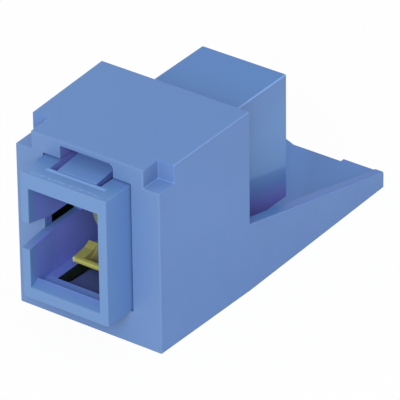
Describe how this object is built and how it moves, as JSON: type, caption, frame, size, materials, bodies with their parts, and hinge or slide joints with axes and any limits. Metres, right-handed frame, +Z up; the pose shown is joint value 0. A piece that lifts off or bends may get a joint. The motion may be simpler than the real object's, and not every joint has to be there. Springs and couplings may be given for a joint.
{
  "type": "sc fibre adapter module",
  "caption": "Panel module for an SC fibre adapter: hollow blue carrier with notched top corners and a sloping-walled tail, round an adapter core with amber latch inserts and a split sleeve.",
  "frame": {"origin": "point on the optical axis where the two ferrules meet, at the middle of the alignment sleeve", "axes": "+X to the right seen from the front port, +Y from the front port to the rear port, +Z up"},
  "size_m": [0.016, 0.0382, 0.0183],
  "materials": {
    "carrier": "satin",
    "core": "satin",
    "insert": "satin",
    "ceramic": "polished"
  },
  "bodies": {
    "module": {"carrier_body": "carrier", "front_shell": "core", "rear_shell": "core", "front_holder": "insert", "rear_holder": "insert", "alignment_sleeve": "ceramic"},
    "upper_tongue_arm": {"upper_tongue": "core"},
    "lower_tongue_arm": {"lower_tongue": "core"},
    "front_upper_arm": {"front_upper_hook": "insert"},
    "front_lower_arm": {"front_lower_hook": "insert"},
    "rear_upper_arm": {"rear_upper_hook": "insert"},
    "rear_lower_arm": {"rear_lower_hook": "insert"}
  },
  "joints": [
    {"name": "upper_tongue_flex", "type": "hinge", "parent": "module", "child": "upper_tongue_arm", "pos_m": [0, -0.0112, 0.00615], "axis": [-1, 0, 0], "range_deg": [0, 9], "stiffness_Nm_per_rad": 0.02},
    {"name": "lower_tongue_flex", "type": "hinge", "parent": "module", "child": "lower_tongue_arm", "pos_m": [0, -0.0112, -0.0058], "axis": [1, 0, 0], "range_deg": [0, 9], "stiffness_Nm_per_rad": 0.02},
    {"name": "front_upper_flex", "type": "hinge", "parent": "module", "child": "front_upper_arm", "pos_m": [0, -0.0022, 0.00385], "axis": [-1, 0, 0], "range_deg": [0, 5], "stiffness_Nm_per_rad": 0.01},
    {"name": "front_lower_flex", "type": "hinge", "parent": "module", "child": "front_lower_arm", "pos_m": [0, -0.0022, -0.00385], "axis": [1, 0, 0], "range_deg": [0, 5], "stiffness_Nm_per_rad": 0.01},
    {"name": "rear_upper_flex", "type": "hinge", "parent": "module", "child": "rear_upper_arm", "pos_m": [0, 0.0022, 0.00385], "axis": [1, 0, 0], "range_deg": [0, 5], "stiffness_Nm_per_rad": 0.01},
    {"name": "rear_lower_flex", "type": "hinge", "parent": "module", "child": "rear_lower_arm", "pos_m": [0, 0.0022, -0.00385], "axis": [-1, 0, 0], "range_deg": [0, 5], "stiffness_Nm_per_rad": 0.01}
  ]
}
